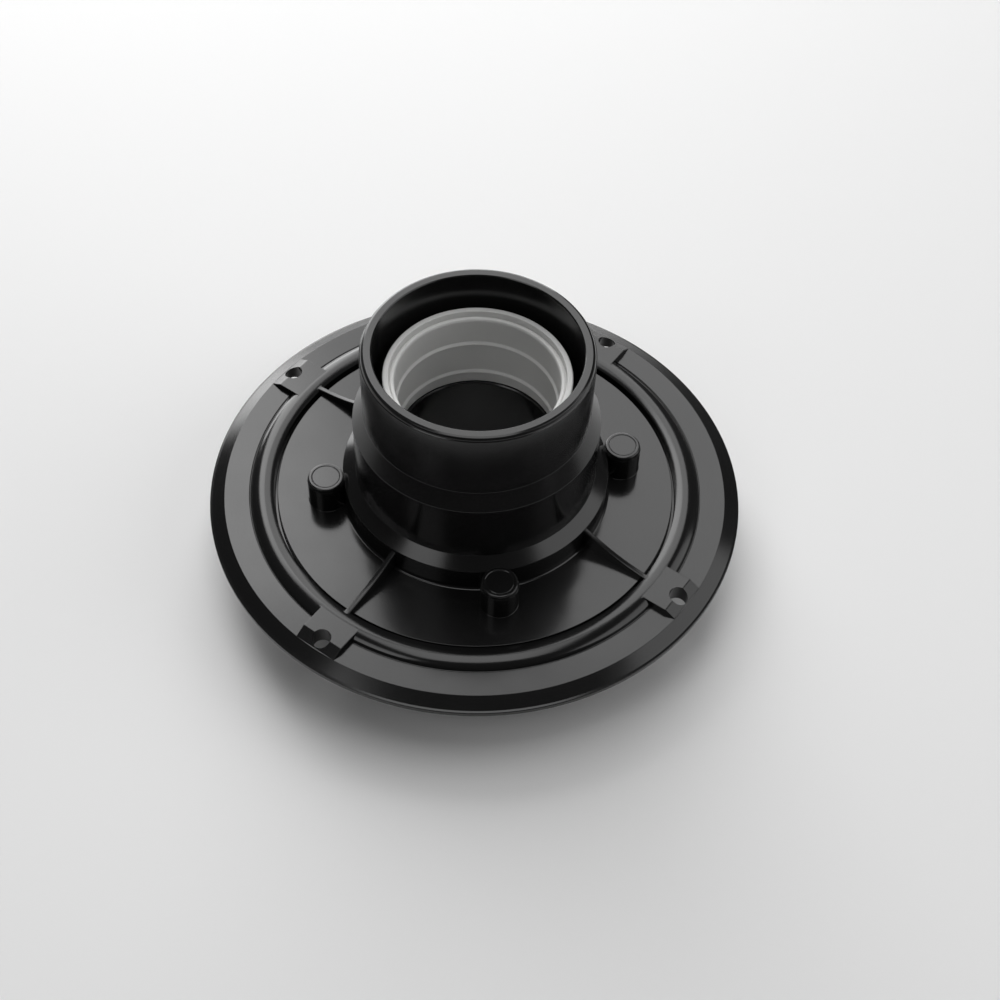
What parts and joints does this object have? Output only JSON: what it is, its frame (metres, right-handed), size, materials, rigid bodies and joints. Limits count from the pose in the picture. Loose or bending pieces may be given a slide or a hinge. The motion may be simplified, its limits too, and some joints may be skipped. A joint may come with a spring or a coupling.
{
  "type": "shower drain base flange",
  "caption": "Round black drain base flange with a stepped waste spigot, clamping ring, threaded height adaptor, lock ring and pale outlet seal.",
  "frame": {"origin": "on the spigot's axis, at the flat lower face of the adaptor's collar, which the part stands on", "axes": "+Z along the spigot's axis towards its open end; +X and +Y through the clamp bolts, with the fixing pads on the diagonals"},
  "size_m": [0.18, 0.18, 0.0914],
  "materials": {
    "black_abs": "moulded gloss black ABS with soft mould marks",
    "black_rubber": "matt black EPDM rubber",
    "pale_rubber": "translucent off-white soft polymer, satin",
    "grey_polythene": "natural grey polythene",
    "stainless_steel": "machined stainless steel",
    "brass": "turned brass"
  },
  "bodies": {
    "adaptor": {"threaded_adaptor": "black_abs"},
    "outlet_seal": {"outlet_seal": "pale_rubber"},
    "slip_washer": {"slip_washer": "grey_polythene"},
    "lock_ring": {"lock_ring": "black_abs"},
    "seal_washer": {"seal_washer": "black_rubber"},
    "clamping_ring": {"clamping_ring": "black_abs", "membrane_gasket": "black_rubber"},
    "flange": {"flange_body": "black_abs", "boss_insert_1": "brass", "boss_insert_2": "brass", "boss_insert_3": "brass", "boss_insert_4": "brass"},
    "bolt_washer_1": {"bolt_washer_1": "stainless_steel"},
    "clamp_bolt_1": {"clamp_bolt_1": "stainless_steel"},
    "bolt_washer_2": {"bolt_washer_2": "stainless_steel"},
    "clamp_bolt_2": {"clamp_bolt_2": "stainless_steel"},
    "bolt_washer_3": {"bolt_washer_3": "stainless_steel"},
    "clamp_bolt_3": {"clamp_bolt_3": "stainless_steel"},
    "bolt_washer_4": {"bolt_washer_4": "stainless_steel"},
    "clamp_bolt_4": {"clamp_bolt_4": "stainless_steel"}
  },
  "joints": [
    {"name": "seal_pull", "type": "slide", "parent": "adaptor", "child": "outlet_seal", "axis": [0, 0, 1], "range_m": [0, 0.055]},
    {"name": "lock_travel", "type": "slide", "parent": "adaptor", "child": "slip_washer", "axis": [0, 0, -1], "range_m": [0, 0.003]},
    {"name": "lock_turn", "type": "hinge", "parent": "slip_washer", "child": "lock_ring", "pos_m": [0, 0, 0.0108], "axis": [0, 0, -1], "range_deg": [0, 360]},
    {"name": "height_travel", "type": "slide", "parent": "adaptor", "child": "seal_washer", "axis": [0, 0, 1], "range_m": [0, 0.015]},
    {"name": "height_turn", "type": "hinge", "parent": "seal_washer", "child": "clamping_ring", "pos_m": [0, 0, 0.0172], "axis": [0, 0, 1], "range_deg": [0, 1800]},
    {"name": "flange_lift", "type": "slide", "parent": "clamping_ring", "child": "flange", "axis": [0, 0, 1], "range_m": [0, 0.06]},
    {"name": "bolt_1_travel", "type": "slide", "parent": "clamping_ring", "child": "bolt_washer_1", "axis": [0, 0, -1], "range_m": [0, 0.0115]},
    {"name": "bolt_1_turn", "type": "hinge", "parent": "bolt_washer_1", "child": "clamp_bolt_1", "pos_m": [0.0504, 0, 0.0121], "axis": [0, 0, -1], "range_deg": [0, 4140.1]},
    {"name": "bolt_2_travel", "type": "slide", "parent": "clamping_ring", "child": "bolt_washer_2", "axis": [0, 0, -1], "range_m": [0, 0.0115]},
    {"name": "bolt_2_turn", "type": "hinge", "parent": "bolt_washer_2", "child": "clamp_bolt_2", "pos_m": [0, 0.0504, 0.0121], "axis": [0, 0, -1], "range_deg": [0, 4140.1]},
    {"name": "bolt_3_travel", "type": "slide", "parent": "clamping_ring", "child": "bolt_washer_3", "axis": [0, 0, -1], "range_m": [0, 0.0115]},
    {"name": "bolt_3_turn", "type": "hinge", "parent": "bolt_washer_3", "child": "clamp_bolt_3", "pos_m": [-0.0504, 0, 0.0121], "axis": [0, 0, -1], "range_deg": [0, 4140.1]},
    {"name": "bolt_4_travel", "type": "slide", "parent": "clamping_ring", "child": "bolt_washer_4", "axis": [0, 0, -1], "range_m": [0, 0.0115]},
    {"name": "bolt_4_turn", "type": "hinge", "parent": "bolt_washer_4", "child": "clamp_bolt_4", "pos_m": [0, -0.0504, 0.0121], "axis": [0, 0, -1], "range_deg": [0, 4140.1]}
  ],
  "couplings": [
    {"joint": "lock_travel", "follows": "lock_turn", "m_per_rad": 0.00047746},
    {"joint": "height_travel", "follows": "height_turn", "m_per_rad": 0.00047746},
    {"joint": "bolt_1_turn", "follows": "bolt_1_travel", "rad_per_m": 6283.2},
    {"joint": "bolt_2_turn", "follows": "bolt_2_travel", "rad_per_m": 6283.2},
    {"joint": "bolt_3_turn", "follows": "bolt_3_travel", "rad_per_m": 6283.2},
    {"joint": "bolt_4_turn", "follows": "bolt_4_travel", "rad_per_m": 6283.2}
  ]
}
